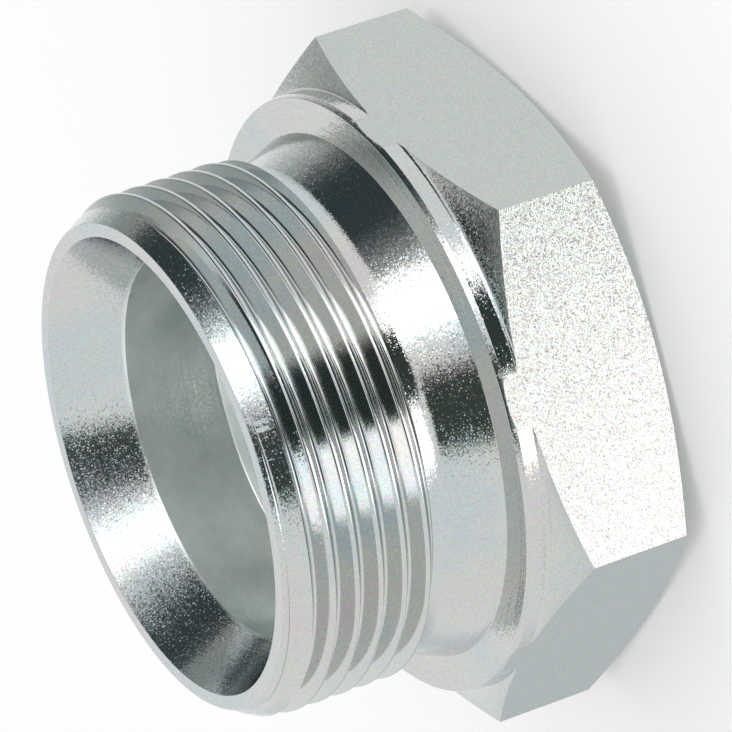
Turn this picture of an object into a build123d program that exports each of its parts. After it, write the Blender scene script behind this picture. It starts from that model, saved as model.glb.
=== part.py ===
from build123d import *
import os
from math import ceil, radians, tan

# Reducing nipple: one turned and milled steel piece.
# Male pipe thread G 1 1/2 on the nose, female pipe thread G 1 in the hexagon's back face.
# Origin: centre of the hexagon's back face. +Z runs along the axis towards the nose.

# Lengths along the axis, from the back face
overall_length = 36.6
collar_face_z = 15.7        # sealing face of the collar
collar_land = 2.07           # straight part of the collar's edge
relief_wall_z = 22.1        # last edge of the male thread

# Male thread, 55 degree pipe form, 11 turns to the inch
male_radius = 23.9015
thread_pitch = 2.309
thread_depth = 1.479
thread_flank = 27.5
thread_flat = 0.385         # width of the flat at the groove's bottom
first_crest_depth = 3.13    # from the nose's face to the first crest, over +X
cutter_overrun = 0.2        # how far the groove's cutter stands out of the crests

# Nose
nose_radius = 22.19         # outer edge of the nose's face
nose_chamfer = 30.0         # from the axis
seat_radius = 20.93         # mouth of the sealing cone
seat_half_angle = 30.0
bore_radius = 17.5
bore_depth = 14.55          # from the nose's face to the inner shoulder
shoulder_slope = 31.0       # from the plane across the axis

# Relief behind the thread, and the conical neck that carries a sealing ring
relief_radius = 22.2
neck_radius = 24.17         # where the neck meets the collar
neck_half_angle = 22.5
neck_fillet = 2.5

# Collar
collar_radius = 27.6
collar_edge_radial = 0.2
collar_edge_axial = 0.5
collar_fillet = 0.4

# Hexagon
across_flats = 55.0
front_cone_slope = 26.5     # from the plane across the axis
back_cone_slope = 22.5
back_face_radius = 26.1

# Female thread's hole, at the radius of the crests
female_radius = 15.1455
female_mouth_radius = 17.0
female_mouth_angle = 45.0


def rise(run, degrees):
    """Height of a slope over a run."""
    return run * tan(radians(degrees))


root_radius = male_radius - thread_depth
cutter_radius = male_radius + cutter_overrun
groove_half_top = thread_flat / 2 + rise(cutter_radius - root_radius, thread_flank)
corner_radius = across_flats / 3**0.5
nose_z = overall_length
chamfer_z = nose_z - (male_radius - nose_radius) / tan(radians(nose_chamfer))
neck_foot_z = collar_face_z + (neck_radius - relief_radius) / tan(radians(neck_half_angle))
collar_back_z = collar_face_z - collar_land
front_corner_z = collar_back_z - rise(corner_radius - collar_radius, front_cone_slope)
back_corner_z = rise(corner_radius - back_face_radius, back_cone_slope)
seat_foot_z = nose_z - (seat_radius - bore_radius) / tan(radians(seat_half_angle))
shoulder_z = nose_z - bore_depth
shoulder_foot_z = shoulder_z - rise(bore_radius - female_radius, shoulder_slope)
mouth_z = rise(female_mouth_radius - female_radius, female_mouth_angle)


def turned_outline():
    """Half section of the blank, radius along X and height along Y."""
    return Polyline(
        (female_mouth_radius, 0),
        (back_face_radius, 0),
        (corner_radius, back_corner_z),
        (corner_radius, front_corner_z),
        (collar_radius, collar_back_z),
        (collar_radius, collar_face_z - collar_edge_axial),
        (collar_radius - collar_edge_radial, collar_face_z),
        (neck_radius, collar_face_z),
        (relief_radius, neck_foot_z),
        (relief_radius, relief_wall_z),
        (male_radius, relief_wall_z),
        (male_radius, chamfer_z),
        (nose_radius, nose_z),
        (seat_radius, nose_z),
        (bore_radius, seat_foot_z),
        (bore_radius, shoulder_z),
        (female_radius, shoulder_foot_z),
        (female_radius, mouth_z),
        close=True,
    )


def turned_blank():
    """The piece as it leaves the lathe, round all over and without its threads."""
    section = make_face(turned_outline())
    neck_corner = section.vertices().sort_by_distance((relief_radius, neck_foot_z))[0]
    section = fillet(neck_corner, neck_fillet)
    collar_corner = section.vertices().sort_by_distance((collar_radius, collar_back_z))[0]
    section = fillet(collar_corner, collar_fillet)
    return revolve(Plane.XZ * section, Axis.Z)


def hexagon_bar():
    """The bar's six flats, with corners on the Y axis."""
    outline = RegularPolygon(corner_radius, 6, rotation=30)
    return extrude(outline, overall_length)


def groove_turn(start_z):
    """One turn of the male thread's right-handed groove, starting over +X."""
    half_root = thread_flat / 2
    half_top = groove_half_top
    section = make_face(Polyline(
        (root_radius, start_z - half_root),
        (cutter_radius, start_z - half_top),
        (cutter_radius, start_z + half_top),
        (root_radius, start_z + half_root),
        close=True,
    ))
    path = Pos(0, 0, start_z) * Helix(thread_pitch, thread_pitch, root_radius)
    return sweep(Plane.XZ * section, path=path, is_frenet=True)


def threaded(blank):
    """The blank with its male thread, cut a turn at a time from the relief past the nose."""
    first_crest_z = nose_z - first_crest_depth
    turns_behind = ceil((first_crest_z - relief_wall_z) / thread_pitch)
    start_z = first_crest_z - (turns_behind + 0.5) * thread_pitch
    turns = ceil((nose_z + groove_half_top - start_z) / thread_pitch)
    for turn in range(turns):
        blank -= groove_turn(start_z + turn * thread_pitch)
    return blank


reducing_nipple = threaded(turned_blank() & hexagon_bar())
reducing_nipple.label = "reducing_nipple"

os.makedirs("parts", exist_ok=True)
export_step(reducing_nipple, "parts/reducing_nipple.step")
print("volume mm3", round(reducing_nipple.volume, 1), "solids", len(reducing_nipple.solids()))
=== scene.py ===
import math

import bmesh
import bpy
from mathutils import Matrix, Vector


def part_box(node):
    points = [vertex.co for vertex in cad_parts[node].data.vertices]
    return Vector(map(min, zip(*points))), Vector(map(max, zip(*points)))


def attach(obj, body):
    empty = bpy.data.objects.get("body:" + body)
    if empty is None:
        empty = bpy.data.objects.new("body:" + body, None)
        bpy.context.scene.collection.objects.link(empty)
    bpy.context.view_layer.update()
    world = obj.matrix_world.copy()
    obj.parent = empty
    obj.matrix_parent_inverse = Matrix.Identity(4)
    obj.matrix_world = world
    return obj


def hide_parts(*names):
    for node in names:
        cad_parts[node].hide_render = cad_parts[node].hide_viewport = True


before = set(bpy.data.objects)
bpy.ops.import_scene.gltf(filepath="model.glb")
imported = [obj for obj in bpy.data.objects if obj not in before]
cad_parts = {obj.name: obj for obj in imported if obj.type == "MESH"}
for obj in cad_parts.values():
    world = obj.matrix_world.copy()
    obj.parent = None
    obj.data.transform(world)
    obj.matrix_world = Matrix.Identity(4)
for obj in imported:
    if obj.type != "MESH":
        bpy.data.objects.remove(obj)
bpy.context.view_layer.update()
mm = 0.001
nodeName = "reducing_nipple"
cadLow, cadHigh = (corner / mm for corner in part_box(nodeName))


# Small helpers

def srgb(hexColour):
    # sRGB hex to the linear colour that a shader takes
    values = [int(hexColour[i:i + 2], 16) / 255 for i in (1, 3, 5)]
    linear = [v / 12.92 if v <= 0.04045 else ((v + 0.055) / 1.055) ** 2.4 for v in values]
    return (*linear, 1.0)


def rise(run, degrees):
    # height of a slope over a run
    return run * math.tan(math.radians(degrees))


def outwardAt(degrees):
    # unit vector away from the axis
    angle = math.radians(degrees)
    return Vector((math.cos(angle), math.sin(angle), 0))


def meshObject(name, bm):
    mesh = bpy.data.meshes.new(name)
    bm.to_mesh(mesh)
    bm.free()
    thing = bpy.data.objects.new(name, mesh)
    bpy.context.scene.collection.objects.link(thing)
    return thing


# The turned blank, in millimetres from the hexagon's back face

nipple = {
    "steps": 240,             # faces round the axis
    "length": cadHigh.z,
    "acrossFlats": cadHigh.x - cadLow.x,
    "cornerPast": 0.5,        # how far the turned outline runs past the hexagon's corners
    "frontConeSlope": 26.5,   # hexagon's chamfer towards the collar
    "backConeSlope": 22.5,
    "backFaceRadius": 26.1,
    "collarRadius": 27.6,
    "collarFace": 15.7,
    "collarLand": 2.07,
    "collarEdge": (0.2, 0.5),  # radial and axial size of its edge break
    "collarFillet": 0.4,
    "neckRadius": 24.17,
    "neckSlope": 22.5,
    "neckFillet": 2.5,
    "reliefRadius": 22.2,
    "reliefWall": 22.1,
    "reliefFillet": 0.25,
    "noseRadius": 22.19,
    "noseChamfer": 30.0,
    "seatRadius": 20.93,
    "seatHalfAngle": 30.0,
    "boreRadius": 17.5,
    "boreDepth": 14.55,
    "shoulderSlope": 31.0,
    "portRadius": 15.12,
    "portMouth": 17.0,
    "edgeBreak": 0.06,        # rounding that deburring and plating leave on an edge
    "flatBreak": 0.09,        # the same along the edges of the hexagon's flats
    "flatArea": 100.0,        # square mm, less than any flat and more than any other face
    "flatWeld": 0.1,          # points this near each other on a flat's rim become one
    "weld": 0.0001,
    "sharpAngle": 32.0,       # edges that turn more than this stay crisp in the shading
}

# British pipe threads, 55 degree form, 11 turns to the inch

maleThread = {
    "crest": 23.9015,
    "pitch": 2.309,
    "depth": 1.479,
    "flank": 27.5,
    "rootRounding": 0.317,
    "crestFlat": 0.385,       # width of the plain crest before its edges are rounded
    "crestRounding": 0.24,
    "arcSteps": 4,
    "start": 20.7705,         # middle of the lowest groove over +X
    "turns": 8,
    "steps": 216,
    "overrun": 0.4,           # how far the cutter stands out of the crests
    "weld": 0.001,
}

portThread = {
    "crest": 15.1455,
    "pitch": 2.309,
    "depth": 1.479,
    "flank": 27.5,
    "rootRounding": 0.317,
    "crestFlat": 0.385,
    "crestRounding": 0.24,
    "arcSteps": 4,
    "start": -1.6,
    "turns": 8,
    "steps": 180,
    "overrun": -0.4,          # inwards, as the groove opens into the bore
    "weld": 0.001,
}


def sectionCorners(n, thread):
    # radius, height and rounding of each corner, once round the half section
    corner = n["acrossFlats"] / math.sqrt(3)
    past = n["cornerPast"]
    collarBack = n["collarFace"] - n["collarLand"]
    frontCorner = collarBack - rise(corner - n["collarRadius"], n["frontConeSlope"])
    backCorner = rise(corner - n["backFaceRadius"], n["backConeSlope"])
    neckFoot = n["collarFace"] + (n["neckRadius"] - n["reliefRadius"]) / rise(1, n["neckSlope"])
    chamferFoot = n["length"] - (thread["crest"] - n["noseRadius"]) / rise(1, n["noseChamfer"])
    seatFoot = n["length"] - (n["seatRadius"] - n["boreRadius"]) / rise(1, n["seatHalfAngle"])
    shoulder = n["length"] - n["boreDepth"]
    shoulderFoot = shoulder - rise(n["boreRadius"] - n["portRadius"], n["shoulderSlope"])
    edgeIn, edgeDown = n["collarEdge"]
    small = n["edgeBreak"]
    return [
        (n["portMouth"], 0, small),
        (n["backFaceRadius"], 0, 2 * small),
        (corner + past, backCorner + rise(past, n["backConeSlope"]), 0),
        (corner + past, frontCorner - rise(past, n["frontConeSlope"]), 0),
        (n["collarRadius"], collarBack, n["collarFillet"]),
        (n["collarRadius"], n["collarFace"] - edgeDown, small),
        (n["collarRadius"] - edgeIn, n["collarFace"], small),
        (n["neckRadius"], n["collarFace"], small),
        (n["reliefRadius"], neckFoot, n["neckFillet"]),
        (n["reliefRadius"], n["reliefWall"], n["reliefFillet"]),
        (thread["crest"], n["reliefWall"], small),
        (thread["crest"], chamferFoot, small),
        (n["noseRadius"], n["length"], small),
        (n["seatRadius"], n["length"], small),
        (n["boreRadius"], seatFoot, small),
        (n["boreRadius"], shoulder, n["reliefFillet"]),
        (n["portRadius"], shoulderFoot, small),
        (n["portRadius"], n["portMouth"] - n["portRadius"], small),
    ]


def roundedLoop(bm, corners):
    # a closed edge loop in the XZ plane, its corners rounded by vertex bevels of 15 degrees a step
    points = [Vector((r, 0, z)) * mm for r, z, _ in corners]
    verts = [bm.verts.new(point) for point in points]
    for i, vert in enumerate(verts):
        bm.edges.new((verts[i - 1], vert))
    for i, vert in enumerate(verts):
        radius = corners[i][2] * mm
        if radius:
            turn = (points[i] - points[i - 1]).angle(points[(i + 1) % len(points)] - points[i])
            bmesh.ops.bevel(bm, geom=[vert], offset=radius * math.tan(turn / 2), offset_type="OFFSET",
                            affect="VERTICES", segments=max(2, round(math.degrees(turn) / 15)),
                            profile=0.5, material=-1)


def turnedBlank(n, thread):
    bm = bmesh.new()
    roundedLoop(bm, sectionCorners(n, thread))
    bmesh.ops.spin(bm, geom=bm.verts[:] + bm.edges[:], cent=(0, 0, 0), axis=(0, 0, 1),
                   angle=math.tau, steps=n["steps"], use_merge=True, use_duplicate=False)
    bmesh.ops.remove_doubles(bm, verts=bm.verts[:], dist=n["weld"] * mm)
    for side in range(6):
        # the bar's flat: cut it, join what lies close together on its rim, and fill it
        normal = outwardAt(60 * side)
        bmesh.ops.bisect_plane(bm, geom=bm.verts[:] + bm.edges[:] + bm.faces[:], dist=1e-8,
                               plane_co=normal * n["acrossFlats"] / 2 * mm, plane_no=normal, clear_outer=True)
        rimPoints = {vert for edge in bm.edges if edge.is_boundary for vert in edge.verts}
        bmesh.ops.remove_doubles(bm, verts=list(rimPoints), dist=n["flatWeld"] * mm)
        bmesh.ops.edgeloop_fill(bm, edges=[edge for edge in bm.edges if edge.is_boundary])
    bmesh.ops.recalc_face_normals(bm, faces=bm.faces[:])
    flats = [face for face in bm.faces
             if face.calc_area() > n["flatArea"] * mm ** 2 and abs(face.normal.z) < 0.01]
    bmesh.ops.bevel(bm, geom=list({edge for face in flats for edge in face.edges}),
                    offset=n["flatBreak"] * mm, offset_type="OFFSET", affect="EDGES", segments=2,
                    profile=0.5, material=-1, clamp_overlap=True)
    print("hexagon's edges broken on", len(flats), "flats")
    return bm


def grooveSection(t):
    # half the groove's section from its root out to the plain crest, then its mirror
    outward = 1 if t["overrun"] > 0 else -1
    flankTurn = math.radians(90 - t["flank"])
    rootArc, crestArc = t["rootRounding"], t["crestRounding"]
    crestStart = (t["pitch"] - t["crestFlat"]) / 2 + crestArc * math.tan(flankTurn / 2)
    angles = [flankTurn * i / t["arcSteps"] for i in range(t["arcSteps"] + 1)]
    half = [(rootArc * math.sin(angle), rootArc - rootArc * math.cos(angle)) for angle in angles]
    half += [(crestStart - crestArc * math.sin(angle), t["depth"] - crestArc + crestArc * math.cos(angle))
             for angle in reversed(angles)]
    half.append((crestStart, t["depth"] + abs(t["overrun"])))
    root = t["crest"] - outward * t["depth"]
    both = half[::-1] + [(-across, height) for across, height in half[1:]]
    return [(root + outward * height, across) for across, height in both]


def grooveCutter(t):
    # one closed section wound up the axis; the neighbouring turns never touch
    bm = bmesh.new()
    section = [bm.verts.new((r * mm, 0, (t["start"] + z) * mm)) for r, z in grooveSection(t)]
    edges = [bm.edges.new((section[i - 1], vert)) for i, vert in enumerate(section)]
    bmesh.ops.spin(bm, geom=section + edges, cent=(0, 0, 0), axis=(0, 0, 1),
                   dvec=(0, 0, t["pitch"] / t["steps"] * mm), angle=math.tau, steps=t["steps"],
                   use_merge=False, use_duplicate=False)
    firstTurn = bm.verts[:] + bm.edges[:] + bm.faces[:]
    for turn in range(1, t["turns"]):
        copy = bmesh.ops.duplicate(bm, geom=firstTurn)["geom"]
        bmesh.ops.translate(bm, vec=(0, 0, turn * t["pitch"] * mm),
                            verts=[part for part in copy if isinstance(part, bmesh.types.BMVert)])
    bmesh.ops.remove_doubles(bm, verts=bm.verts[:], dist=t["weld"] * mm)
    bmesh.ops.edgeloop_fill(bm, edges=[edge for edge in bm.edges if edge.is_boundary])
    bmesh.ops.recalc_face_normals(bm, faces=bm.faces[:])
    return bm


def cut(thing, cutter):
    modifier = thing.modifiers.new("cut", "BOOLEAN")
    modifier.operation = "DIFFERENCE"
    modifier.object = cutter
    modifier.solver = "MANIFOLD"
    bpy.context.view_layer.update()
    mesh = bpy.data.meshes.new_from_object(thing.evaluated_get(bpy.context.evaluated_depsgraph_get()))
    thing.modifiers.remove(modifier)
    thing.data = mesh
    bpy.data.objects.remove(cutter)


def markFinishes(bm, n, thread):
    # how each point was made: drawn for the bar's flats, threadCut for the male thread, else turned
    drawn = bm.verts.layers.float.new("drawn")
    threadCut = bm.verts.layers.float.new("threadCut")
    root = thread["crest"] - thread["depth"]
    slack = 0.02  # mm
    for vert in bm.verts:
        across = max(vert.co.dot(outwardAt(60 * side)) for side in range(6)) / mm
        vert[drawn] = 1.0 if across > n["acrossFlats"] / 2 - slack / 2 else 0.0
        radius = vert.co.xy.length / mm
        height = vert.co.z / mm
        chamfer = n["noseRadius"] + (n["length"] - height) * rise(1, n["noseChamfer"])
        onThread = n["reliefWall"] < height and root - slack < radius < chamfer - 5 * slack
        vert[threadCut] = 1.0 if onThread else 0.0


body = meshObject("nipple_body", turnedBlank(nipple, maleThread))
print("turned blank", len(body.data.polygons), "faces")
cut(body, meshObject("male groove", grooveCutter(maleThread)))
cut(body, meshObject("port groove", grooveCutter(portThread)))
bm = bmesh.new()
bm.from_mesh(body.data)
print("threads cut", len(bm.faces), "faces, open edges", sum(not edge.is_manifold for edge in bm.edges),
      "volume", round(bm.calc_volume() / mm ** 3, 1))
markFinishes(bm, nipple, maleThread)
for edge in bm.edges:
    edge.smooth = edge.calc_face_angle(0) < math.radians(nipple["sharpAngle"])
for face in bm.faces:
    face.smooth = True
bm.to_mesh(body.data)
bm.free()
weighted = body.modifiers.new("weighted normals", "WEIGHTED_NORMAL")
weighted.keep_sharp = True


# Zinc-plated steel

plating = {
    # the film's tints, each with its place between the thinnest and the thickest film
    "film": ((0.3, "#c0cac5"), (0.42, "#c0c8ca"), (0.52, "#c8cbc8"), (0.7, "#cac8c8")),
    "cloudSize": 14.0,        # mm, patches of thinner and thicker passivation
    "drawnColour": "#c1c7c4",
    "boreWithPaintedLight": "#f1f4f1",  # painted light: lighter than the steel, because what shows in there has been reflected several times
    "boreStain": "#d3dddb",
    "boreEdge": 0.2,          # mm over which the bore's finish begins
    "turnedRoughness": 0.09,
    "drawnRoughness": 0.3,
    "boreRoughness": 0.36,    # the drilled bore is duller than the turned outside
    "crystalSize": 0.09,      # mm, crystals of the plating, drawn coarser than they are so that they show
    "crystalTint": 0.2,       # share of their own colour that the film gives the crystals
    "turnedLean": 0.06,       # how far the crystals lean, as a share of the normal
    "threadLean": 0.02,       # the male thread is cut bright, and shows less of the plating's grain
    "drawnLean": 0.19,
    "steepLean": 0.2,         # the lean of the steeper crystals, which glint in the dark zones
    "steepShare": 0.3,
    "toolMarks": 0.11,        # mm, feed of the last turning cut
    "toolLean": 0.08,         # how far the walls of the tool marks lean
    "facedLean": 0.3,         # the same on faces square to the axis, which are cut more coarsely
}


def addNode(tree, kind, settings=None, links=None):
    # an input goes by its name, or by its number where two share a name
    node = tree.nodes.new(kind)
    for key, value in (settings or {}).items():
        if isinstance(key, str) and hasattr(node, key):
            setattr(node, key, value)
        else:
            node.inputs[key].default_value = value
    for key, socket in (links or {}).items():
        tree.links.new(socket, node.inputs[key])
    return node


def perMetre(size):
    # texture scale that gives features of a size in mm
    return 1 / (size * mm)


def zincPlatedSteel(look):
    # turned and drawn steel under bright zinc: sharp reflections that break into
    # grains at their edges, fine rings from the tool, and a faint rainbow film
    material = bpy.data.materials.new("zinc plated steel")
    material.use_nodes = True
    tree = material.node_tree
    shader = tree.nodes["Principled BSDF"]
    place = addNode(tree, "ShaderNodeTexCoord").outputs["Object"]
    drawn = addNode(tree, "ShaderNodeAttribute", {"attribute_name": "drawn"}).outputs["Fac"]
    threadCut = addNode(tree, "ShaderNodeAttribute", {"attribute_name": "threadCut"}).outputs["Fac"]
    colourFactor, colourA, colourB, colourOut = 0, 6, 7, 2  # sockets of a Mix node that mixes colours

    # distance from the axis, and with the height a place on the turned profile
    split = addNode(tree, "ShaderNodeSeparateXYZ", links={"Vector": place})
    outward = addNode(tree, "ShaderNodeCombineXYZ", links={"X": split.outputs["X"], "Y": split.outputs["Y"]})
    radius = addNode(tree, "ShaderNodeVectorMath", {"operation": "LENGTH"},
                     {"Vector": outward.outputs["Vector"]}).outputs["Value"]
    profile = addNode(tree, "ShaderNodeCombineXYZ", links={"X": radius, "Z": split.outputs["Z"]})
    inBore = addNode(tree, "ShaderNodeMapRange", {"From Min": (nipple["boreRadius"] + look["boreEdge"]) * mm,
                                                  "From Max": nipple["boreRadius"] * mm},
                     {"Value": radius}).outputs["Result"]

    # colours: the film's clouds on turned steel, the drawn bar, and the stained bore, painted lighter for the
    # light reflected inside it
    clouds = addNode(tree, "ShaderNodeTexNoise", {"Scale": perMetre(look["cloudSize"]), "Detail": 4.0,
                                                  "Roughness": 0.5}, {"Vector": place})
    film = addNode(tree, "ShaderNodeValToRGB", links={"Fac": clouds.outputs["Fac"]})
    stops = film.color_ramp.elements
    firstTint, *middleTints, lastTint = look["film"]
    for stop, (position, tint) in zip(stops, (firstTint, lastTint)):
        stop.position = position
        stop.color = srgb(tint)
    for position, tint in middleTints:
        stops.new(position).color = srgb(tint)
    stains = addNode(tree, "ShaderNodeTexNoise", {"Scale": perMetre(look["cloudSize"] / 2), "Detail": 6.0,
                                                  "Roughness": 0.6}, {"Vector": place})
    stained = addNode(tree, "ShaderNodeMapRange", {"From Min": 0.36, "From Max": 0.64},
                      {"Value": stains.outputs["Fac"]})
    # painted light in the bore's colour, mixed with its stains
    boreWithPaintedLight = addNode(tree, "ShaderNodeMix", {"data_type": "RGBA", colourA: srgb(look["boreWithPaintedLight"]),
                                                 colourB: srgb(look["boreStain"])},
                         {colourFactor: stained.outputs["Result"]})
    barColour = addNode(tree, "ShaderNodeMix", {"data_type": "RGBA", colourB: srgb(look["drawnColour"])},
                        {colourFactor: drawn, colourA: film.outputs["Color"]})
    skinColour = addNode(tree, "ShaderNodeMix", {"data_type": "RGBA"},
                         {colourFactor: inBore, colourA: barColour.outputs[colourOut],
                          colourB: boreWithPaintedLight.outputs[colourOut]})

    # each crystal of the plating has its own tint and leans its own way
    crystals = addNode(tree, "ShaderNodeTexVoronoi", {"Scale": perMetre(look["crystalSize"])},
                       {"Vector": place})
    crystal = crystals.outputs["Color"]
    tinted = addNode(tree, "ShaderNodeMix", {"data_type": "RGBA", "blend_type": "OVERLAY",
                                             colourFactor: look["crystalTint"]},
                     {colourA: skinColour.outputs[colourOut], colourB: crystal})
    tree.links.new(tinted.outputs[colourOut], shader.inputs["Base Color"])
    lot = addNode(tree, "ShaderNodeTexWhiteNoise", links={"Vector": crystals.outputs["Position"]})
    steep = addNode(tree, "ShaderNodeMath", {"operation": "LESS_THAN", 1: look["steepShare"]},
                    {0: lot.outputs["Value"]})
    usualLean = addNode(tree, "ShaderNodeMapRange", {"To Min": look["turnedLean"],
                                                     "To Max": look["drawnLean"]}, {"Value": drawn})
    mixedLean = addNode(tree, "ShaderNodeMapRange", {"To Max": look["steepLean"]},
                        {"Value": steep.outputs["Value"], "To Min": usualLean.outputs["Result"]})
    crystalLean = addNode(tree, "ShaderNodeMapRange", {"To Max": look["threadLean"]},
                          {"Value": threadCut, "To Min": mixedLean.outputs["Result"]})
    fromMiddle = addNode(tree, "ShaderNodeVectorMath", {"operation": "SUBTRACT", 1: (0.5, 0.5, 0.5)},
                         {0: crystal})
    crystalPart = addNode(tree, "ShaderNodeVectorMath", {"operation": "SCALE"},
                          {"Vector": fromMiddle.outputs["Vector"], "Scale": crystalLean.outputs["Result"]})

    # the tool marks lean to and fro along the turned profile; the flats and the male thread have none
    facing = addNode(tree, "ShaderNodeNewGeometry").outputs["Normal"]
    around = addNode(tree, "ShaderNodeVectorMath", {"operation": "CROSS_PRODUCT", 0: (0, 0, 1)},
                     {1: outward.outputs["Vector"]})
    along = addNode(tree, "ShaderNodeVectorMath", {"operation": "CROSS_PRODUCT"},
                    {0: facing, 1: around.outputs["Vector"]})
    alongUnit = addNode(tree, "ShaderNodeVectorMath", {"operation": "NORMALIZE"},
                        {"Vector": along.outputs["Vector"]})
    upward = addNode(tree, "ShaderNodeVectorMath", {"operation": "DOT_PRODUCT", 1: (0, 0, 1)}, {0: facing})
    latheLean = addNode(tree, "ShaderNodeMapRange", {"From Min": 0.97, "From Max": 0.99,
                                                     "To Min": look["toolLean"], "To Max": look["facedLean"]},
                        {"Value": upward.outputs["Value"]})
    markless = addNode(tree, "ShaderNodeMath", {"operation": "MAXIMUM"}, {0: drawn, 1: threadCut})
    toolLean = addNode(tree, "ShaderNodeMapRange", {"To Max": 0.0},
                       {"Value": markless.outputs["Value"], "To Min": latheLean.outputs["Result"]})
    rings = addNode(tree, "ShaderNodeTexNoise", {"Scale": perMetre(look["toolMarks"] * 2), "Detail": 1.0},
                    {"Vector": profile.outputs["Vector"]})
    ringSide = addNode(tree, "ShaderNodeMath", {"operation": "SUBTRACT", 1: 0.5}, {0: rings.outputs["Fac"]})
    ringLean = addNode(tree, "ShaderNodeMath", {"operation": "MULTIPLY"},
                       {0: ringSide.outputs["Value"], 1: toolLean.outputs["Result"]})
    ringPart = addNode(tree, "ShaderNodeVectorMath", {"operation": "SCALE"},
                       {"Vector": alongUnit.outputs["Vector"], "Scale": ringLean.outputs["Value"]})
    withRings = addNode(tree, "ShaderNodeVectorMath", {"operation": "ADD"},
                        {0: facing, 1: ringPart.outputs["Vector"]})
    withCrystals = addNode(tree, "ShaderNodeVectorMath", {"operation": "ADD"},
                           {0: withRings.outputs["Vector"], 1: crystalPart.outputs["Vector"]})
    leaning = addNode(tree, "ShaderNodeVectorMath", {"operation": "NORMALIZE"},
                      {"Vector": withCrystals.outputs["Vector"]})
    tree.links.new(leaning.outputs["Vector"], shader.inputs["Normal"])

    barRoughness = addNode(tree, "ShaderNodeMapRange", {"To Min": look["turnedRoughness"],
                                                        "To Max": look["drawnRoughness"]}, {"Value": drawn})
    allRoughness = addNode(tree, "ShaderNodeMapRange", {"To Max": look["boreRoughness"]},
                           {"Value": inBore, "To Min": barRoughness.outputs["Result"]})
    tree.links.new(allRoughness.outputs["Result"], shader.inputs["Roughness"])
    shader.inputs["Metallic"].default_value = 1.0
    return material


body.data.materials.clear()
body.data.materials.append(zincPlatedSteel(plating))
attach(body, "root")
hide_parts(nodeName)
print("zinc-plated steel laid on")


# Camera at the photograph's angle

cameraSetting = {
    "place": (-187.650, -496.356, 243.540),
    "look": (0.328918, 0.857478, -0.395656),
    "roll": -108.737,
    "lens": 321.793,
}

camera = bpy.data.objects.new("camera", bpy.data.cameras.new("camera"))
bpy.context.scene.collection.objects.link(camera)
bpy.context.scene.camera = camera
camera.data.lens = cameraSetting["lens"]
camera.data.clip_end = 20
camera.location = Vector(cameraSetting["place"]) * mm
aim = Vector(cameraSetting["look"]).to_track_quat("-Z", "Y").to_matrix()
aim = aim @ Matrix.Rotation(math.radians(cameraSetting["roll"]), 3, "Z")
camera.rotation_euler = aim.to_euler()


# Studio: white floor and world, and cards that only reflections show

studioCards = {
    # across and up are degrees from the lens, width, height and turn degrees as the nipple sees them,
    # distance mm, fade the shares of the width and height over which the rim clears
    "softbox": {"across": 2, "up": 32, "width": 96, "height": 38, "turn": 20, "distance": 450,
                "light": 2.5, "fade": (0.32, 0.32), "colour": "#ffffff"},
    "sideSoftbox": {"across": 62, "up": -7, "width": 48, "height": 36, "turn": 0, "distance": 450,
                    "light": 3.0, "fade": (0.22, 0.22), "colour": "#fff6f6"},
    "upperFlag": {"across": -72, "up": 58, "width": 100, "height": 48, "turn": 0, "distance": 440,
                  "light": 0.08, "fade": (0.4, 0.24), "colour": "#c6e6ee"},
    "lowerFlag": {"across": 0, "up": -14, "width": 52, "height": 42, "turn": 6, "distance": 440,
                  "light": 0.08, "fade": (0.24, 0.24), "colour": "#d8f2e8"},
    "leftFlag": {"across": -80, "up": -10, "width": 54, "height": 36, "turn": 0, "distance": 440,
                 "light": 0.05, "fade": (0.28, 0.2), "colour": "#d8f2e8"},
    "sideFlag": {"across": 56, "up": 21, "width": 74, "height": 40, "turn": 0, "distance": 440,
                 "light": 0.07, "fade": (0.2, 0.2), "colour": "#d8f2e8"},
    "greyWall": {"across": -118, "up": 30, "width": 80, "height": 80, "turn": 0, "distance": 480,
                 "light": 0.36, "fade": (0.45, 0.45), "colour": "#f2fbf6"},
    "lowWall": {"across": 161, "up": -31, "width": 70, "height": 50, "turn": 0, "distance": 480,
                "light": 0.75, "fade": (0.45, 0.45), "colour": "#f2f8fb"},
}


def cardPaint(name, card):
    # a plain glow that clears towards the card's rim
    paint = bpy.data.materials.new(name)
    paint.use_nodes = True
    tree = paint.node_tree
    tree.nodes.clear()
    glow = addNode(tree, "ShaderNodeEmission", {"Color": srgb(card["colour"]), "Strength": card["light"]})
    uvMap = addNode(tree, "ShaderNodeUVMap")
    uv = addNode(tree, "ShaderNodeSeparateXYZ", links={"Vector": uvMap.outputs["UV"]})
    inside = []
    for axis, fade in zip("XY", card["fade"]):
        fromMiddle = addNode(tree, "ShaderNodeMath", {"operation": "SUBTRACT", 1: 0.5}, {0: uv.outputs[axis]})
        away = addNode(tree, "ShaderNodeMath", {"operation": "ABSOLUTE"}, {0: fromMiddle.outputs["Value"]})
        inside.append(addNode(tree, "ShaderNodeMapRange",
                              {"interpolation_type": "SMOOTHSTEP", "From Min": 0.5, "From Max": 0.5 - fade},
                              {"Value": away.outputs["Value"]}))
    cover = addNode(tree, "ShaderNodeMath", {"operation": "MULTIPLY"},
                    {0: inside[0].outputs["Result"], 1: inside[1].outputs["Result"]})
    clear = addNode(tree, "ShaderNodeBsdfTransparent")
    blend = addNode(tree, "ShaderNodeMixShader", links={"Fac": cover.outputs["Value"],
                                                        1: clear.outputs["BSDF"],
                                                        2: glow.outputs["Emission"]})
    addNode(tree, "ShaderNodeOutputMaterial", links={"Surface": blend.outputs["Shader"]})
    return paint


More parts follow.
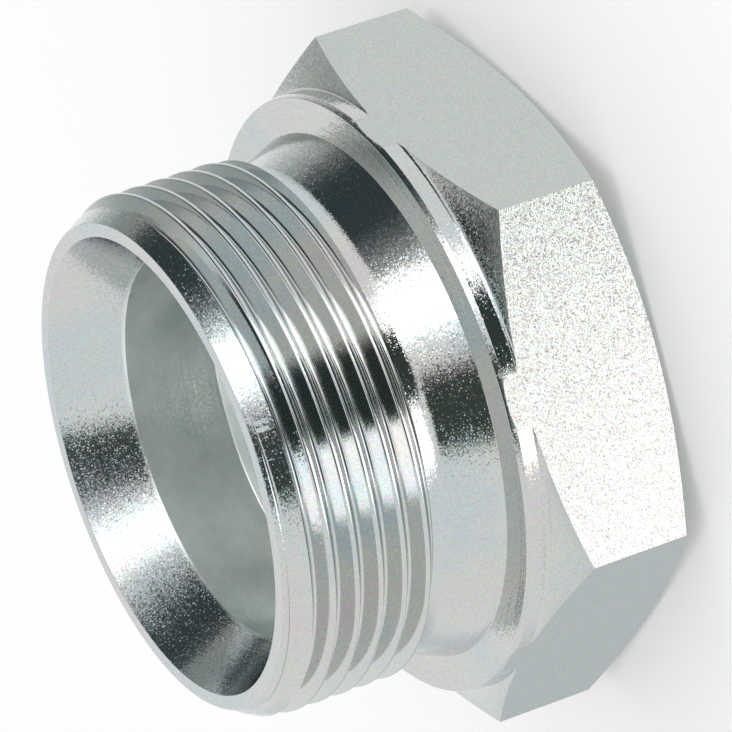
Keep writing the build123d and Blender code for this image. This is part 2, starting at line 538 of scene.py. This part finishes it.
def studioCard(name, card):
    a, e = math.radians(card["across"]), math.radians(card["up"])
    toCard = aim @ Vector((math.sin(a) * math.cos(e), math.sin(e), math.cos(a) * math.cos(e)))
    far = card["distance"] * mm
    halfWidth, halfHeight = (rise(far, card[size] / 2) for size in ("width", "height"))
    bm = bmesh.new()
    bm.loops.layers.uv.new("card")
    bmesh.ops.create_grid(bm, x_segments=1, y_segments=1, size=1, calc_uvs=True)
    bmesh.ops.scale(bm, verts=bm.verts[:], vec=(halfWidth, halfHeight, 1))
    bmesh.ops.rotate(bm, verts=bm.verts[:], cent=(0, 0, 0),
                     matrix=Matrix.Rotation(math.radians(card["turn"]), 3, "Z"))
    side = (aim @ Vector((0, 1, 0))).cross(toCard).normalized()
    cardFrame = Matrix((side, toCard.cross(side).normalized(), toCard)).transposed()
    bmesh.ops.transform(bm, verts=bm.verts[:], matrix=cardFrame.to_4x4())
    middle = Vector((0, 0, nipple["length"] / 2 * mm))
    bmesh.ops.translate(bm, verts=bm.verts[:], vec=toCard * far + middle)
    thing = meshObject(name, bm)
    thing.data.materials.append(cardPaint(name, card))
    thing.visible_camera = False
    thing.visible_diffuse = False
    thing.visible_shadow = False
    thing.visible_transmission = False


for cardName, card in studioCards.items():
    studioCard(cardName, card)

white = srgb("#ffffff")
world = bpy.data.worlds.new("studio")
bpy.context.scene.world = world
world.use_nodes = True
world.node_tree.nodes["Background"].inputs["Color"].default_value = white
world.node_tree.nodes["Background"].inputs["Strength"].default_value = 1.0
bpy.context.scene.view_settings.view_transform = "Standard"

floorReach = 3.0  # metres from the nipple to the floor's edges
bm = bmesh.new()
bmesh.ops.create_grid(bm, x_segments=1, y_segments=1, size=floorReach)
floor = meshObject("floor", bm)
floorPaint = bpy.data.materials.new("white board")
floorPaint.use_nodes = True
floorPaint.node_tree.nodes["Principled BSDF"].inputs["Base Color"].default_value = white
floorPaint.node_tree.nodes["Principled BSDF"].inputs["Roughness"].default_value = 0.9
floor.data.materials.append(floorPaint)
floor.visible_glossy = False
print("studio set up with", len(studioCards), "cards")
